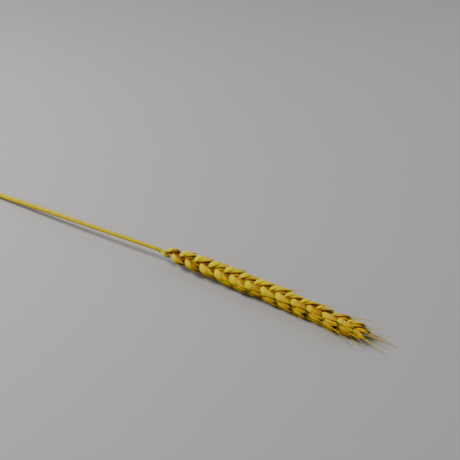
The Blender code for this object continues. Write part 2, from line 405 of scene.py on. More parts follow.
def spikelets():
    """Foot, axis, outward and fan directions and size of every spikelet, one row each. They lean out to
    alternate sides, and the last one stands straight with its fan a quarter turn round."""
    centre, along, across, face = line_frames(NODES)
    index = np.arange(SIDE_SPIKELETS + 1)
    last = column(index == SIDE_SPIKELETS)
    side = np.where(last, face, across * column(np.where(index % 2, 1.0, -1.0)))
    lean = np.where(last[:, 0], 0.0, SPREAD + SPREAD_SWAY * DRAW[:, 0])
    low = 1 - STUNTING * np.exp(-index / STUNTED_SPIKELETS)
    return {
        "foot": centre + np.where(last, 0.0, RACHIS_ZIGZAG) * side,
        "axis": turned(along, side, lean),
        "outward": turned(side, along, -lean),
        "fan": np.where(last, across, face),
        "size": low * (1 - TIP_SHRINK * (index / SIDE_SPIKELETS) ** 3),
    }


def husks(kind, fans, wide, sway, vary):
    """Root, direction, back direction and sizes of one scale in every spikelet, one row each."""
    to_face, to_side, up = kind["root"]
    size = fans["size"]
    flared = turned(fans["axis"], fans["outward"], kind["flare"])
    fanning = 1 + FANNING * eased(NODES / EAR_LENGTH)
    along = turned(flared, wide, kind["splay"] * fanning + kind["sway"] * sway)
    facing = turned(wide, fans["outward"], kind["facing"])
    offset = wide * to_face + fans["outward"] * to_side + fans["axis"] * up
    return {
        "root": fans["foot"] + offset * column(MM * size),
        "along": along,
        "back": unit(facing - along * column((facing * along).sum(axis=-1))),
        "length": kind["length"] * MM * size * (1 + kind["vary"] * vary),
        "half_width": kind["half_width"] * MM * size,
        "depth": kind["depth"] * MM * size,
        "bow": np.full(len(size), kind["bow"]),
        "widest": np.full(len(size), kind["widest"]),
    }


def all_glumes(kind):
    """Upper and lower glumes, in two runs of one per spikelet, shorter and narrower up the ear."""
    fans = spikelets()
    upper = husks(kind, fans, fans["fan"], DRAW[:, 1], DRAW[:, 2])
    lower = husks(kind, fans, -fans["fan"], DRAW[:, 3], DRAW[:, 4])
    both = stacked(upper, lower)
    up_the_ear = np.tile(eased(NODES / EAR_LENGTH), 2)
    both["length"] = both["length"] * (1 - GLUME_SHORTENING * up_the_ear)
    both["half_width"] = both["half_width"] * (1 - GLUME_NARROWING * up_the_ear)
    return both


def paired_lemmas(kind, first):
    """A pair in each side spikelet from the first one given."""
    fans = spikelets()
    upper = husks(kind, fans, fans["fan"], DRAW[:, 5], DRAW[:, 3])
    lower = husks(kind, fans, -fans["fan"], DRAW[:, 7], DRAW[:, 6])
    kept = slice(first, SIDE_SPIKELETS)
    return stacked(*({key: value[kept] for key, value in group.items()} for group in (upper, lower)))


def all_lemmas(kind, middle_kind):
    """Upper, lower and middle lemmas, in three runs of one per spikelet."""
    fans = spikelets()
    upper = husks(kind, fans, fans["fan"], DRAW[:, 2], DRAW[:, 5])
    lower = husks(kind, fans, -fans["fan"], DRAW[:, 4], DRAW[:, 5])
    middle = husks(middle_kind, fans, fans["fan"], DRAW[:, 6], DRAW[:, 7])
    return stacked(upper, lower, middle)


def stacked(*groups):
    """Groups of scales joined into one, run after run."""
    return {key: np.concatenate([group[key] for group in groups]) for key in groups[0]}


def husk_line(husk, u):
    """Points of each husk's centre line at the shares u: straight, with a bow 4u(1-u) towards its back."""
    rise = column(husk["bow"])[:, :, None] * column(4 * u * (1 - u))
    return husk["root"][:, None] + column(husk["length"])[:, :, None] * (
        husk["along"][:, None] * column(u) + husk["back"][:, None] * rise
    )


def swell(u, widest):
    """Width along a scale: u to a power times 1-u to another, so that it is 1 where it is widest."""
    fall = BLUNTNESS * (1 - widest) / widest
    return (u / widest) ** BLUNTNESS * ((1 - u) / (1 - widest)) ** fall


def ring_shares(count):
    """Shares along a husk for its rings, closer together towards both ends: (1 - cos) / 2."""
    return (1 - np.cos(np.linspace(0, math.pi, count + 2)[1:-1])) / 2


def husk_rings(husk, u, arc, thickness, vein, keel):
    """Rings of thin boat-shaped shells, and how much painted shade each point gets for being near an edge or
    an end, partly the husk's own colour at its margins and tip.

    Round the back, a ring is an ellipse x = w sin a, y = d cos a for a from -arc to arc, with low veins
    (cos 9a)^3 and one keel between two shallow grooves, a narrow bell curve less a wide one, which rises
    towards the tip. The ring returns along the same ellipse, drawn in by the shell's thickness, so that
    the boat is open at its front. The boat also twists a little along its length, its sides wave in and
    out, and it narrows to a beak.
    """
    count = len(husk["length"])
    back = np.linspace(-arc, arc, BACK_POINTS)
    front = np.linspace(arc, -arc, HOLLOW_POINTS + 2)[1:-1]
    angle = np.radians(np.concatenate([back, front]))
    inside = np.concatenate([np.zeros(BACK_POINTS), np.ones(HOLLOW_POINTS)])
    draw = np.random.default_rng(SEED + count).uniform(-1, 1, (count, 4))
    along = u[:, None]
    twist = np.radians(TWIST) * draw[:, 0, None, None] * (along - TWIST_CENTRE)
    wave = 1 + WAVE * np.sin(WAVE_RATE * along + WAVE_SHIFT * draw[:, 1, None, None])
    a = angle + twist
    grown = np.maximum(swell(along[None], husk["widest"][:, None, None]), BEAK_WIDTH * along**8)
    ridge = vein * np.cos(VEINS * angle) ** 3 * np.sin(math.pi * along) ** 0.5
    off_keel = (angle + KEEL_OFFSET) ** 2
    bump = np.exp(-off_keel / KEEL_SPREAD) - GROOVE_SHARE * np.exp(-off_keel / GROOVE_SPREAD)
    swelled = 1 + (1 - inside) * (ridge + keel * along**KEEL_RISE * bump)
    wide = husk["half_width"][:, None, None] * grown * wave * (1 - thickness * inside)
    deep = husk["depth"][:, None, None] * grown * (1 - thickness * HOLLOW_DRAW * inside)
    across = np.cross(husk["along"], husk["back"])
    rings = (
        husk_line(husk, u)[:, :, None]
        + across[:, None, None] * column(wide * swelled * np.sin(a))
        + husk["back"][:, None, None] * column(deep * swelled * np.cos(a))
    )
    # Painted shade in the hollow and at the root; at the margins and tip partly painted shade, partly own
    # colour
    at_side = MARGIN_SHADE * (np.abs(angle) / angle.max()) ** 3 + HOLLOW_SHADE * inside
    at_tip = TIP_SHADE * np.clip((along - TIP_SHADE_START) / (1 - TIP_SHADE_START), 0, 1)
    at_root = ROOT_SHADE * np.clip(1 - along / ROOT_SHADE_END, 0, 1)
    edge = np.clip(at_side * (1 - along**5) + (at_tip + at_root), 0, MOST_SHADE)
    return rings, np.broadcast_to(edge, rings.shape[:3])


def husk_ends(husk, beak):
    """Both ends of each husk: the root, and the tip of a beak that runs on by a share of the length, more
    of it the further up the ear."""
    ends = husk_line(husk, np.array([0.0, BEAK_DIRECTION_FROM, 1.0]))
    share = beak * (1 + BEAK_GROWTH * eased(husk["root"][:, 0] / EAR_LENGTH))
    return ends[:, 0], ends[:, 2] + unit(ends[:, 2] - ends[:, 1]) * column(husk["length"] * share)


def on_the_table(points):
    """Heights kept above the table by a soft bend: z becomes (z + sqrt(z^2 + s^2)) / 2."""
    lifted = points.copy()
    z = points[..., 2]
    lifted[..., 2] = (z + np.sqrt(z * z + FLOOR_SOFTNESS**2)) / 2
    return lifted


def painted_shade_in_ear(points):
    """Painted shade deep in the ear: distance from its line as a share of its outermost husks', less at both
    ends.
    """
    x = points[..., 0]
    to_tip = np.clip((EAR_LENGTH + PAST_TIP - x) / TIP_STRETCH, LEAST_AT_TIP, 1)
    to_collar = np.clip((x + BEFORE_COLLAR) / COLLAR_STRETCH, LEAST_AT_COLLAR, 1)
    return np.clip(np.linalg.norm(points - spine(x), axis=-1) / (OUTERMOST * to_tip * to_collar), 0, 1)


def form_faces(along, around, u):
    """Faces of one closed form, its rings numbered in order and its two end points last: quads between the
    rings and a fan at either end. Gives corners, corners per face and each corner's place on the map."""
    ring = np.arange(along * around).reshape(along, around)
    ahead = np.roll(ring, -1, axis=1)
    start, end = along * around, along * around + 1
    quads = np.stack([ring[:-1], ahead[:-1], ahead[1:], ring[1:]], axis=-1).reshape(-1, 4)
    fan = np.stack([np.full(around, start), ahead[0], ring[0]], axis=-1)
    cap = np.stack([np.full(around, end), ring[-1], ahead[-1]], axis=-1)
    loops = np.concatenate([quads.reshape(-1), fan.reshape(-1), cap.reshape(-1)])
    sizes = np.concatenate([np.full(len(quads), 4), np.full(2 * around, 3)])
    way = np.arange(around) / around
    step = 1 / around
    quad_u = np.stack([way, way + step, way + step, way], axis=-1)
    quad_v = np.stack([u[:-1], u[:-1], u[1:], u[1:]], axis=-1)[:, None]
    shape = (along - 1, around, 4)
    quad_u, quad_v = (np.broadcast_to(value, shape).reshape(-1) for value in (quad_u, quad_v))
    fan_u = np.stack([way + step / 2, way + step, way], axis=-1).reshape(-1)
    fan_v = np.tile([0.0, u[0], u[0]], around)
    cap_u = np.stack([way + step / 2, way, way + step], axis=-1).reshape(-1)
    cap_v = np.tile([1.0, u[-1], u[-1]], around)
    uv = np.stack([np.concatenate([quad_u, fan_u, cap_u]), np.concatenate([quad_v, fan_v, cap_v])], axis=-1)
    return loops, sizes, uv


def shells_object(name, rings, first, last, u, edge=None, shade=None):
    """One mesh of closed forms, each a grid of rings with a point at either end. The map "fibre" holds the
    form's number plus the way round, and the way along. The attribute "shade" is how far out of the ear a
    point lies, less what the form loses at its edges and ends, which is painted shade, or else one number
    given for all."""
    forms, along, around, _ = rings.shape
    points = np.concatenate([rings.reshape(forms, -1, 3), first[:, None], last[:, None]], axis=1)
    if shade is None:
        shade = painted_shade_in_ear(points)
        shade[:, :-2] *= 1 - edge.reshape(forms, -1)
        # Painted shade at each husk's root point
        shade[:, -2] *= ROOT_POINT_LIGHT
    else:
        shade = np.full(points.shape[:2], shade)
    points = on_the_table(points) + COLLAR
    loops, sizes, uv = form_faces(along, around, u)
    number = np.arange(forms)
    all_loops = loops + number[:, None] * points.shape[1]
    all_uv = np.broadcast_to(uv, (forms, *uv.shape)).copy()
    all_uv[..., 0] += number[:, None]
    starts = np.concatenate([[0], np.cumsum(np.tile(sizes, forms))[:-1]])
    mesh = bpy.data.meshes.new(name)
    mesh.vertices.add(points.shape[0] * points.shape[1])
    mesh.vertices.foreach_set("co", points.reshape(-1))
    mesh.loops.add(all_loops.size)
    mesh.loops.foreach_set("vertex_index", all_loops.reshape(-1).astype(np.int32))
    mesh.polygons.add(len(starts))
    mesh.polygons.foreach_set("loop_start", starts.astype(np.int32))
    mesh.update(calc_edges=True)
    mesh.polygons.foreach_set("use_smooth", np.ones(len(starts), bool))
    mesh.uv_layers.new(name="fibre").data.foreach_set("uv", all_uv.reshape(-1))
    layer = mesh.attributes.new("shade", "FLOAT", "POINT")
    layer.data.foreach_set("value", shade.reshape(-1))
    mesh.validate()
    made = bpy.data.objects.new(name, mesh)
    bpy.context.scene.collection.objects.link(made)
    return made


def tube_rings(path, radii, around, flat=1.0, up=None):
    """Rings carried along paths: an ellipse square to the path at each point, flat times as high as wide."""
    along = unit(np.gradient(path, axis=1))
    side = unit(np.cross(np.array([0.0, 0.0, 1.0]) if up is None else up, along))
    over = np.cross(along, side)
    angle = np.arange(around) / around * 2 * math.pi
    return (
        path[:, :, None]
        + side[:, :, None] * column(radii[:, :, None] * np.sin(angle))
        + over[:, :, None] * column(radii[:, :, None] * np.cos(angle) * flat)
    )


def socket(group, name, kind, way, default=None):
    """Adds an input or output to a node group."""
    made = group.interface.new_socket(name=name, in_out=way, socket_type=kind)
    if default is not None:
        made.default_value = default


def fibre_group():
    """Dry plant fibre: streaks along the fibre map, a tone for each husk, blotches over the whole ear. It is
    darker where a point lies deep in the ear, at a husk's edge or at its ends, which is painted shade,
    partly the husk's own colour at its margins and tip; and it is warmer to the tip."""
    group = bpy.data.node_groups.get("dry plant fibre")
    if group:
        return group
    group = bpy.data.node_groups.new("dry plant fibre", "ShaderNodeTree")
    for name, kind, default in (
        ("Fibre map", "NodeSocketVector", None),
        ("Place", "NodeSocketVector", None),
        ("Depth", "NodeSocketFloat", 1.0),
        ("Fibres", "NodeSocketFloat", 12.0),
        ("Stretch", "NodeSocketFloat", 2.0),
        ("Contrast", "NodeSocketFloat", 1.0),
        ("Bias", "NodeSocketFloat", 0.0),
        ("Warmth", "NodeSocketFloat", 0.0),
        ("Light", "NodeSocketColor", (0.8, 0.6, 0.05, 1.0)),
        ("Middle", "NodeSocketColor", (0.6, 0.4, 0.03, 1.0)),
        ("Dark", "NodeSocketColor", (0.2, 0.1, 0.01, 1.0)),
    ):
        socket(group, name, kind, "INPUT", default)
    for name, kind in (
        ("Colour", "NodeSocketColor"),
        ("Roughness", "NodeSocketFloat"),
        ("Height", "NodeSocketFloat"),
    ):
        socket(group, name, kind, "OUTPUT")
    add, link = group.nodes.new, group.links.new
    given = add("NodeGroupInput")
    given.location = (-1400, 0)
    out = add("NodeGroupOutput")
    out.location = (900, 0)

    def sum_of(a, b, operation="ADD", clamp=False):
        made = add("ShaderNodeMath")
        made.operation = operation
        made.use_clamp = clamp
        for number, value in enumerate((a, b)):
            if isinstance(value, (int, float)):
                made.inputs[number].default_value = value
            else:
                link(value, made.inputs[number])
        return made.outputs[0]

    def noise(vector, scale, detail):
        made = add("ShaderNodeTexNoise")
        made.inputs["Scale"].default_value = scale
        made.inputs["Detail"].default_value = detail
        link(vector, made.inputs["Vector"])
        return made.outputs["Fac"]

    split = add("ShaderNodeSeparateXYZ")
    link(given.outputs["Fibre map"], split.inputs[0])
    husk_number = sum_of(split.outputs["X"], 0.0, "FLOOR")

    def streaks(more, detail):
        joined = add("ShaderNodeCombineXYZ")
        fine = sum_of(given.outputs["Fibres"], more, "MULTIPLY")
        link(sum_of(split.outputs["X"], fine, "MULTIPLY"), joined.inputs["X"])
        stretch = sum_of(given.outputs["Stretch"], more, "MULTIPLY")
        link(sum_of(split.outputs["Y"], stretch, "MULTIPLY"), joined.inputs["Y"])
        link(husk_number, joined.inputs["Z"])
        return noise(joined.outputs[0], 1.0, detail)

    broad = streaks(1.0, 2.0)
    fine = streaks(FINE_STEP, 3.0)
    tone = add("ShaderNodeTexWhiteNoise")
    tone.noise_dimensions = "1D"
    link(husk_number, tone.inputs["W"])
    blotch = noise(given.outputs["Place"], BLOTCH_SCALE, 2.0)
    mixed = sum_of(sum_of(broad, BROAD_SHARE, "MULTIPLY"), sum_of(fine, FINE_SHARE, "MULTIPLY"))
    mixed = sum_of(mixed, sum_of(tone.outputs["Value"], TONE_SHARE, "MULTIPLY"))
    mixed = sum_of(mixed, sum_of(blotch, BLOTCH_SHARE, "MULTIPLY"))
    mixed = sum_of(sum_of(mixed, PATTERN_MIDDLE, "SUBTRACT"), given.outputs["Contrast"], "MULTIPLY")
    # The painted shade darkens the value deep in the ear, in hollows and at roots
    depth = sum_of(sum_of(given.outputs["Depth"], PAINTED_SHADE_MIDDLE, "SUBTRACT"), PAINTED_SHADE_CONTRAST, "MULTIPLY")
    value = sum_of(sum_of(mixed, depth), given.outputs["Bias"])
    value = sum_of(value, BASE_VALUE, "ADD", True)

    def blend(factor, a, b):
        made = add("ShaderNodeMix")
        made.data_type = "RGBA"
        link(factor, made.inputs[0])
        link(a, made.inputs[6])
        link(b, made.inputs[7])
        return made.outputs[2]

    low = sum_of(value, 2.0, "MULTIPLY", True)
    high = sum_of(sum_of(value, 0.5, "SUBTRACT"), 2.0, "MULTIPLY", True)
    colour = blend(low, given.outputs["Dark"], given.outputs["Middle"])
    colour = blend(high, colour, given.outputs["Light"])
    place = add("ShaderNodeSeparateXYZ")
    link(given.outputs["Place"], place.inputs[0])
    warm = sum_of(sum_of(place.outputs["X"], WARMING, "MULTIPLY"), given.outputs["Warmth"], "ADD", True)
    tint = add("ShaderNodeMix")
    tint.data_type, tint.blend_type = "RGBA", "MULTIPLY"
    tint.inputs[7].default_value = WARM_TINT
    link(warm, tint.inputs[0])
    link(colour, tint.inputs[6])
    link(tint.outputs[2], out.inputs["Colour"])
    link(sum_of(sum_of(fine, FINE_ROUGHNESS, "MULTIPLY"), ROUGHNESS), out.inputs["Roughness"])
    height = sum_of(sum_of(broad, BROAD_HEIGHT, "MULTIPLY"), sum_of(fine, FINE_HEIGHT, "MULTIPLY"))
    link(height, out.inputs["Height"])
    return group


def fibre_material(name, light, middle, dark, **values):
    """A Principled material whose colour, roughness and bump come from the dry plant fibre group."""
    made = bpy.data.materials.new(name)
    made.use_nodes = True
    tree = made.node_tree
    shader = tree.nodes["Principled BSDF"]
    shader.inputs["Metallic"].default_value = 0.0
    shader.inputs["Specular IOR Level"].default_value = values.pop("gloss", 0.1)
    bump = tree.nodes.new("ShaderNodeBump")
    bump.inputs["Strength"].default_value = values.pop("bump", 0.5)
    bump.inputs["Distance"].default_value = BUMP_DISTANCE
    fibre = tree.nodes.new("ShaderNodeGroup")
    fibre.node_tree = fibre_group()
    for socket_name, colour in (("Light", light), ("Middle", middle), ("Dark", dark)):
        fibre.inputs[socket_name].default_value = (*colour, 1.0)
    for socket_name, value in values.items():
        fibre.inputs[socket_name.capitalize()].default_value = value
    fibre_map = tree.nodes.new("ShaderNodeUVMap")
    fibre_map.uv_map = "fibre"
    place = tree.nodes.new("ShaderNodeTexCoord")
    # The attribute "shade" brings the painted shade into the fibre group
    shade = tree.nodes.new("ShaderNodeAttribute")
    shade.attribute_name = "shade"
    tree.links.new(shade.outputs["Fac"], fibre.inputs["Depth"])
    tree.links.new(fibre_map.outputs[0], fibre.inputs["Fibre map"])
    tree.links.new(place.outputs["Object"], fibre.inputs["Place"])
    tree.links.new(fibre.outputs["Colour"], shader.inputs["Base Color"])
    tree.links.new(fibre.outputs["Roughness"], shader.inputs["Roughness"])
    tree.links.new(fibre.outputs["Height"], bump.inputs["Height"])
    tree.links.new(bump.outputs["Normal"], shader.inputs["Normal"])
    return made


def husk_finish(name, colours, **values):
    """Dry plant fibre in the colours of the husks."""
    return fibre_material(name, colours.husk_light, colours.husk_middle, colours.husk_dark, **values)


def straw_finish(name, colours, **values):
    """Dry plant fibre in the colours of the straw."""
    return fibre_material(name, colours.straw_light, colours.straw_middle, colours.straw_dark, **values)


def placed(piece, material, node):
    """A finished piece: it rides on the root, stands for its node and has its finish."""
    piece.data.materials.append(material)
    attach(piece, "root")
    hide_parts(node)


def length_prop(name, description, default):
    """A length in metres, for the panel."""
    return bpy.props.FloatProperty(
        name=name, description=description, default=default, min=0.0, unit="LENGTH", precision=5
    )


def share_prop(name, description, default):
    """A share from 0 to 1, for the panel."""
    return bpy.props.FloatProperty(
        name=name, description=description, default=default, min=0.0, max=1.0, subtype="FACTOR"
    )


def colour_prop(name, description, default):
    """A colour, for the panel."""
    return bpy.props.FloatVectorProperty(
        name=name, description=description, default=default, size=3, min=0.0, max=1.0, subtype="COLOR"
    )


def angle_prop(name, description, degrees):
    """An angle given in degrees, for the panel."""
    return bpy.props.FloatProperty(
        name=name, description=description, default=math.radians(degrees), subtype="ANGLE"
    )


def plain_prop(name, description, default):
    """A plain number, for the panel."""
    return bpy.props.FloatProperty(name=name, description=description, default=default)


class WheatSizes(bpy.types.PropertyGroup):
    """Sizes of the husks, bristles and hairs."""

    glume_length: length_prop("Glume length", "Length of a full glume", GLUME["length"] * MM)
    glume_width: length_prop("Glume half width", "Half the width of a full glume", GLUME["half_width"] * MM)
    lemma_length: length_prop("Lemma length", "Length of a full side lemma", LEMMA["length"] * MM)
    lemma_width: length_prop("Lemma half width", "Half the width of a side lemma", LEMMA["half_width"] * MM)
    thickness: share_prop("Husk thickness", "Thickness of a husk as a share of its half width", 0.09)
    vein: share_prop("Vein height", "Height of the veins as a share of the husk's radius", 0.03)
    keel: share_prop("Keel height", "Height of a glume's keel as a share of its radius", 0.3)
    awn_radius: length_prop("Awn radius", "Radius of an awn where it leaves its lemma", 0.31 * MM)
    awn_end: length_prop("Awn end radius", "Radius of an awn at its end", 0.07 * MM)
    hair_length: length_prop("Hair length", "Length of the hairs at the rachis's nodes", 0.9 * MM)
    rib: share_prop("Rib height", "Height of the straw's ribs as a share of its radius", 0.014)


class WheatColours(bpy.types.PropertyGroup):
    """Colours of the husks and the straw."""

    # husk_light also serves as painted light on the husks' outer backs and husk_dark as painted shade deep
    # in the ear, besides the light and dark streaks
    husk_light: colour_prop("Husk light", "Colour of a husk's outer, sunlit back", (0.61, 0.48, 0.0))
    husk_middle: colour_prop("Husk middle", "Main colour of the husks", (0.44, 0.27, 0.0))
    husk_dark: colour_prop("Husk dark", "Colour deep in the ear and of dark streaks", (0.21, 0.078, 0.0))
    straw_light: colour_prop("Straw light", "Lightest streaks of the straw", (0.64, 0.47, 0.0))
    straw_middle: colour_prop("Straw middle", "Main colour of the straw", (0.42, 0.3, 0.0))
    straw_dark: colour_prop("Straw dark", "Darkest streaks of the straw", (0.13, 0.07, 0.002))


class WheatStage(bpy.types.PropertyGroup):
    """Camera, floor and lights."""

    azimuth: angle_prop("Azimuth", "Camera's turn round the ear", 29.4)
    elevation: angle_prop("Elevation", "Camera's angle above the table", 35)
    distance: length_prop("Distance", "From the camera to the point it looks at", 0.447)
    look_at: bpy.props.FloatVectorProperty(
        name="Look at", description="Point it looks at, from the collar", default=(0.0215, 0.0347, 0.004)
    )
    view_angle: angle_prop("Angle of view", "Camera's angle of view", 30)
    floor: colour_prop("Floor", "Colour of the backdrop", (0.345, 0.334, 0.326))
    key: plain_prop("Key light", "Power of the key light in watts", 6.0)
    fill: plain_prop("Fill light", "Power of the fill light in watts", 1.2)
    sky: plain_prop("Sky", "Strength of the even light all round", 0.3)


class WHEAT_OT_glumes(bpy.types.Operator):
    """Make the glumes, the plump outer scales of every spikelet"""

    bl_idname = "wheat.glumes"
    bl_label = "Glumes"

    def execute(self, context):
        sizes, colours = context.scene.wheat_sizes, context.scene.wheat_colours
        kind = dict(GLUME, length=sizes.glume_length / MM, half_width=sizes.glume_width / MM)
        husk = all_glumes(kind)
        u = ring_shares(HUSK_RINGS)
        rings, edge = husk_rings(husk, u, GLUME_ARC, sizes.thickness, sizes.vein, sizes.keel)
        piece = shells_object("glumes", rings, *husk_ends(husk, GLUME_BEAK), u, edge)
        # Lighter than the lemmas: partly painted light on the glumes' outer backs, partly their own paler
        # colour
        finish = husk_finish(
            "glume husk", colours, fibres=11.0, stretch=1.6, contrast=1.8, bias=0.1, warmth=-0.35
        )
        placed(piece, finish, "ear")
        return {"FINISHED"}


class WHEAT_OT_florets(bpy.types.Operator):
    """Make the side, middle, upper, inner and core lemmas, and the paleas that close the first two"""

    bl_idname = "wheat.florets"
    bl_label = "Florets"

    def execute(self, context):
        sizes, colours = context.scene.wheat_sizes, context.scene.wheat_colours
        kind = dict(LEMMA, length=sizes.lemma_length / MM, half_width=sizes.lemma_width / MM)
        side = all_lemmas(kind, MIDDLE_LEMMA)
        upper = paired_lemmas(UPPER_LEMMA, FIRST_FULL)
        inner = paired_lemmas(INNER_LEMMA, FIRST_CLOSED)
        core = paired_lemmas(CORE_LEMMA, FIRST_FULL)
        # Darker and warmer than the glumes: partly the lemmas' own colour, partly painted shade under the
        # glumes
        finish = husk_finish(
            "lemma husk", colours, fibres=15.0, stretch=1.4, contrast=2.0, bias=-0.34, warmth=0.3
        )
        inner_finish = husk_finish(
            "palea", colours, fibres=8.0, stretch=1.2, contrast=0.6, bias=-0.02, warmth=0.2
        )
        pieces = (
            ("lemmas", side, HUSK_RINGS),
            ("upper_lemmas", upper, HUSK_RINGS),
            ("inner_lemmas", inner, INNER_RINGS),
            ("core_lemmas", core, INNER_RINGS),
        )
        keel = sizes.keel * LEMMA_KEEL_SHARE
        for name, husk, count in pieces:
            u = ring_shares(count)
            rings, edge = husk_rings(husk, u, LEMMA_ARC, sizes.thickness, sizes.vein, keel)
            piece = shells_object(name, rings, *husk_ends(husk, LEMMA_BEAK), u, edge)
            placed(piece, finish, "ear")
        changes = {
            "back": -1,
            "bow": -1,
            "length": PALEA_LENGTH,
            "half_width": PALEA_WIDTH,
            "depth": PALEA_DEPTH,
        }
        palea = dict(side, **{key: side[key] * share for key, share in changes.items()})
        u = ring_shares(INNER_RINGS)
        vein = sizes.vein * PALEA_VEIN_SHARE
        rings, edge = husk_rings(palea, u, PALEA_ARC, sizes.thickness, vein, 0.0)
        piece = shells_object("paleas", rings, *husk_ends(palea, 0.0), u, edge)
        placed(piece, inner_finish, "ear")
        return {"FINISHED"}


class WHEAT_OT_rachis(bpy.types.Operator):
    """Make the zigzag rachis with its collar, and the hairs at its nodes"""

    bl_idname = "wheat.rachis"
    bl_label = "Rachis and hairs"

    def execute(self, context):
        sizes, colours = context.scene.wheat_sizes, context.scene.wheat_colours
        stops = np.concatenate([[-JOINT_GAP], NODES])
        steps = np.arange((len(stops) - 1) * RACHIS_STEPS + 1) / RACHIS_STEPS
        x = np.interp(steps, np.arange(len(stops)), stops)
        centre, along, across, _ = line_frames(x)
        zigzag = RACHIS_ZIGZAG * np.where(np.arange(len(NODES)) % 2, 1.0, -1.0)
        offset = np.interp(x, stops, np.concatenate([[0.0], zigzag]))
        path = centre + across * column(offset)
        share = np.clip((x - FIRST_NODE) / (NODES[-1] - FIRST_NODE), 0, 1)
        radius = RACHIS_RADIUS + (RACHIS_TIP_RADIUS - RACHIS_RADIUS) * share
        neck = RACHIS_NECK + (1 - RACHIS_NECK) * (steps % 1) ** 2
        radius = radius * np.where(x > FIRST_NODE, neck, 1.0)
        swelling = np.exp(-(((x - COLLAR_MIDDLE) / COLLAR_SPREAD) ** 2))
        radius = radius + (COLLAR_RADIUS - RACHIS_RADIUS) * swelling
        flat = column(1 + RACHIS_FLATNESS * eased((x - FIRST_NODE / 2) / FIRST_NODE))
        up = np.cross(across, along)[None]
        rings = tube_rings(path[None], radius[None], RACHIS_AROUND, flat, up)
        share_along = (x - x[0]) / (x[-1] - x[0])
        piece = shells_object("rachis", rings, path[None, 0], path[None, -1], share_along, shade=0.5)
        finish = straw_finish("rachis", colours, fibres=10.0, stretch=30.0, contrast=0.8, bias=0.25)
        placed(piece, finish, "ear")
        piece = shells_object("hairs", *node_hairs(sizes.hair_length), shade=0.75)
        finish = fibre_material(
            "hairs",
            colours.straw_light,
            colours.straw_light,
            colours.straw_middle,
            contrast=0.4,
            bias=0.3,
        )
        placed(piece, finish, "ear")
        return {"FINISHED"}


def node_hairs(length):
    """Short tapered hairs that lean up the ear from both margins of the rachis at every node: each is a
    bent line of three rings, with its foot spread over the margin."""
    draw = np.random.default_rng(SEED + 5).uniform(-1, 1, (len(NODES) * HAIRS_PER_NODE, 5))
    x = np.repeat(NODES, HAIRS_PER_NODE) + draw[:, 0] * HAIR_STRAY
    centre, along, across, face = line_frames(x)
    size = np.repeat(spikelets()["size"], HAIRS_PER_NODE)
    end = np.where(draw[:, 1] > 0, 1.0, -1.0)
    foot = centre + face * column(end * HAIR_MARGIN) + across * column(draw[:, 2] * HAIR_BAND)
    to_face = end * (HAIR_LEAN + HAIR_LEAN_SWAY * draw[:, 3])
    lean = unit(along + face * column(to_face) + across * column(draw[:, 2]))
    reach = length * (HAIR_REACH + HAIR_REACH_SWAY * draw[:, 4]) * size
    t = np.append(HAIR_SHARES, 1.0)
    path = (
        foot[:, None]
        + lean[:, None] * column(reach[:, None] * t)
        + along[:, None] * column(reach[:, None] * HAIR_BEND * t**2)
    )
    t = t[:-1]
    radii = np.broadcast_to(HAIR_RADIUS * (1 - HAIR_TAPER * t), (len(path), len(t)))
    return tube_rings(path[:, :-1], radii, 3), foot, path[:, -1], t


class WHEAT_OT_awns(bpy.types.Operator):
    """Make the awns on the upper lemmas"""

    bl_idname = "wheat.awns"
    bl_label = "Awns"

    def execute(self, context):
        sizes, colours = context.scene.wheat_sizes, context.scene.wheat_colours
        t = np.linspace(0, 1, AWN_POINTS)[:-1]
        path, end = awn_lines(np.append(t, 1.0))
        barbs = 1 + BARB_HEIGHT * ((t * AWN_BARBS) % 1.0)
        foot = AWN_FOOT + (1 - AWN_FOOT) * eased(t / AWN_FOOT_STRETCH)
        radii = (sizes.awn_radius + (sizes.awn_end - sizes.awn_radius) * t) * (barbs * foot)
        rings = tube_rings(path, np.broadcast_to(radii, path.shape[:2]), AWN_AROUND)
        piece = shells_object("awns", rings, path[:, 0], end, t, shade=0.78)
        finish = husk_finish("awn", colours, fibres=4.0, stretch=10.0, contrast=0.7, bias=-0.05)
        placed(piece, finish, "ear")
        return {"FINISHED"}


def awn_lines(t):
    """Lines of all the awns at the shares t: straight on from the lemma's last stretch, bent outwards with
    the square of the way along, and kept above the table."""
    run = SIDE_SPIKELETS + 1
    index = np.arange(FIRST_AWNED, SIDE_SPIKELETS)
    share = (index - FIRST_AWNED) / (SIDE_SPIKELETS - FIRST_AWNED)
    row = np.where(index % 4 < 2, index + run, index)
    reach = (SHORT_AWN + (LONG_AWN - SHORT_AWN) * share) * (1 + AWN_VARY * DRAW[index, 7])
    twice = index >= FIRST_TWICE_AWNED
    at_tip = len(TIP_AWN_SHARES)
    row = np.concatenate([row, index[twice] + 2 * run, SIDE_SPIKELETS + run * np.arange(at_tip)])
    bend = np.concatenate([AWN_BEND * (1 - share), np.full(twice.sum(), AWN_BEND), np.zeros(at_tip)])
    reach = np.concatenate([reach, reach[twice] * MIDDLE_AWN_SHARE, LONG_AWN * np.array(TIP_AWN_SHARES)])
    index = np.concatenate([index, index[twice], np.full(at_tip, SIDE_SPIKELETS)])
    line = husk_line(all_lemmas(LEMMA, MIDDLE_LEMMA), np.array([AWN_DIRECTION_FROM, 1.0]))[row]
    tip = line[:, 1]
    along = unit(tip - line[:, 0])
    _, ear_along, _, _ = line_frames(NODES[index])
    outward = unit(along - ear_along * column((along * ear_along).sum(axis=-1)))
    far = (reach + AWN_SINK)[:, None] * t
    points = (
        tip[:, None]
        + along[:, None] * column(far - AWN_SINK)
        + outward[:, None] * column(np.tan(np.radians(bend))[:, None] * far * t)
    )
    points[..., 2] = np.maximum(points[..., 2], AWN_CLEARANCE)
    return points[:, :-1], points[:, -1]


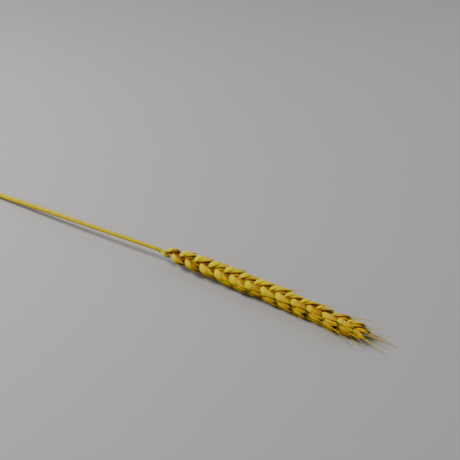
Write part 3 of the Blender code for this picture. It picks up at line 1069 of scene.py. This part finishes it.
class WHEAT_OT_straw(bpy.types.Operator):
    """Make the ribbed straw with its hollow cut end"""

    bl_idname = "wheat.straw"
    bl_label = "Straw"

    def execute(self, context):
        sizes, colours = context.scene.wheat_sizes, context.scene.wheat_colours
        angle = np.arange(STRAW_AROUND) / STRAW_AROUND * 2 * math.pi
        cut = -STRAW_LENGTH
        outer = np.linspace(cut, -JOINT_GAP / 2, STRAW_RINGS)
        bore = np.linspace(cut + STRAW_BORE_DEPTH, cut + BORE_LIP, BORE_RINGS)
        x = np.concatenate([bore, outer])
        radius = np.interp(outer, [cut, 0.0], [STRAW_CUT_RADIUS, STRAW_TOP_RADIUS])
        radius[0] -= CUT_ROUNDING
        radius = np.concatenate([np.full(len(bore), STRAW_BORE_RADIUS), radius])
        is_outer = np.concatenate([np.zeros(len(bore)), np.ones(len(outer))])
        broad, narrow, fine = TEAR_WAVES
        teeth = np.sin(broad * angle) * np.sin(narrow * angle + 1)
        teeth = teeth + np.sin(fine * angle + 2) * FINE_TEAR_SHARE + TEAR_MIDDLE
        broad, fine = RIB_WAVES
        ribs = np.cos(broad * angle) + FINE_RIB_SHARE * np.cos(fine * angle + 1)
        near_cut = np.exp(-(x - cut) / TEAR_REACH) * (x < cut + TEAR_END)
        ring_x = x[:, None] + TEAR * teeth / 2 * near_cut[:, None]
        wide = radius[:, None] * (1 + sizes.rib * ribs * is_outer[:, None])
        rings = spine(ring_x)
        rings[..., 1] -= wide * np.sin(angle)
        rings[..., 2] += wide * np.cos(angle)
        centre = spine(x)
        v = (x - x.min()) / (x.max() - x.min())
        piece = shells_object("straw_skin", rings[None], centre[None, 0], centre[None, -1], v, shade=0.65)
        finish = straw_finish(
            "straw", colours, fibres=26.0, stretch=9.0, contrast=0.9, bias=0.0, gloss=0.15, bump=0.4
        )
        placed(piece, finish, "straw")
        return {"FINISHED"}


class WHEAT_OT_stage(bpy.types.Operator):
    """Make the floor, the lights and the camera"""

    bl_idname = "wheat.stage"
    bl_label = "Stage"

    def execute(self, context):
        scene, stage = context.scene, context.scene.wheat_stage
        half = FLOOR_HALF
        corners = [(-half, -half, 0), (half, -half, 0), (half, half, 0), (-half, half, 0)]
        mesh = bpy.data.meshes.new("floor")
        mesh.from_pydata(corners, [], [(0, 1, 2, 3)])
        floor = bpy.data.objects.new("floor", mesh)
        scene.collection.objects.link(floor)
        floor.data.materials.append(floor_material(stage.floor))
        soft_light("key", stage.key, KEY_PLACE, KEY_SIZE)
        soft_light("fill", stage.fill, FILL_PLACE, FILL_SIZE)
        world = bpy.data.worlds.new("even light")
        world.use_nodes = True
        sky = world.node_tree.nodes["Background"]
        sky.inputs["Color"].default_value = SKY_COLOUR
        sky.inputs["Strength"].default_value = stage.sky
        scene.world = world
        camera = bpy.data.objects.new("camera", bpy.data.cameras.new("camera"))
        scene.collection.objects.link(camera)
        level = math.cos(stage.elevation)
        back = Vector(
            (math.sin(stage.azimuth) * level, -math.cos(stage.azimuth) * level, math.sin(stage.elevation))
        )
        camera.location = Vector(COLLAR) + Vector(stage.look_at) + back * stage.distance
        camera.rotation_euler = back.to_track_quat("Z", "Y").to_euler()
        camera.data.sensor_width = SENSOR_WIDTH
        camera.data.lens = SENSOR_WIDTH / 2 / math.tan(stage.view_angle / 2)
        camera.data.clip_start, camera.data.clip_end = 0.01, 20.0
        scene.camera = camera
        return {"FINISHED"}


def floor_material(colour):
    """Matt backdrop paper: its own colour with a faint mottle."""
    made = bpy.data.materials.new("backdrop")
    made.use_nodes = True
    tree = made.node_tree
    shader = tree.nodes["Principled BSDF"]
    shader.inputs["Roughness"].default_value = FLOOR_ROUGHNESS
    mottle = tree.nodes.new("ShaderNodeTexNoise")
    mottle.inputs["Scale"].default_value = MOTTLE_SCALE
    ramp = tree.nodes.new("ShaderNodeValToRGB")
    for element, share in zip(ramp.color_ramp.elements, (1 - MOTTLE, 1 + MOTTLE)):
        element.color = (*[min(c * share, 1.0) for c in colour], 1.0)
    place = tree.nodes.new("ShaderNodeTexCoord")
    tree.links.new(place.outputs["Object"], mottle.inputs["Vector"])
    tree.links.new(mottle.outputs["Fac"], ramp.inputs["Fac"])
    tree.links.new(ramp.outputs["Color"], shader.inputs["Base Color"])
    return made


def soft_light(name, power, place, size):
    """A square soft light that looks at the middle of the ear."""
    data = bpy.data.lights.new(name, "AREA")
    data.energy, data.size = power, size
    lamp = bpy.data.objects.new(name, data)
    bpy.context.scene.collection.objects.link(lamp)
    lamp.location = place
    lamp.rotation_euler = (Vector(place) - Vector(LIT_PLACE)).to_track_quat("Z", "Y").to_euler()


class WHEAT_PT_panel(bpy.types.Panel):
    """Lists the ear's pieces and their sizes and colours"""

    bl_idname = "WHEAT_PT_panel"
    bl_label = "Wheat ear"
    bl_space_type = "VIEW_3D"
    bl_region_type = "UI"
    bl_category = "Wheat ear"

    def draw(self, context):
        for group in (context.scene.wheat_sizes, context.scene.wheat_colours, context.scene.wheat_stage):
            box = self.layout.box()
            for name in group.__annotations__:
                box.prop(group, name)
        for operator in OPERATORS:
            self.layout.operator(operator.bl_idname)


OPERATORS = (
    WHEAT_OT_stage,
    WHEAT_OT_glumes,
    WHEAT_OT_florets,
    WHEAT_OT_rachis,
    WHEAT_OT_awns,
    WHEAT_OT_straw,
)
GROUPS = {"wheat_sizes": WheatSizes, "wheat_colours": WheatColours, "wheat_stage": WheatStage}


def register():
    for made in (*GROUPS.values(), *OPERATORS, WHEAT_PT_panel):
        bpy.utils.register_class(made)
    for name, group in GROUPS.items():
        setattr(bpy.types.Scene, name, bpy.props.PointerProperty(type=group))


def unregister():
    for name in GROUPS:
        delattr(bpy.types.Scene, name)
    for made in reversed((*GROUPS.values(), *OPERATORS, WHEAT_PT_panel)):
        bpy.utils.unregister_class(made)


def main():
    """Make every piece."""
    register()
    bpy.ops.wheat.stage()
    bpy.ops.wheat.glumes()
    bpy.ops.wheat.florets()
    bpy.ops.wheat.rachis()
    bpy.ops.wheat.awns()
    bpy.ops.wheat.straw()


if __name__ == "__main__":
    main()
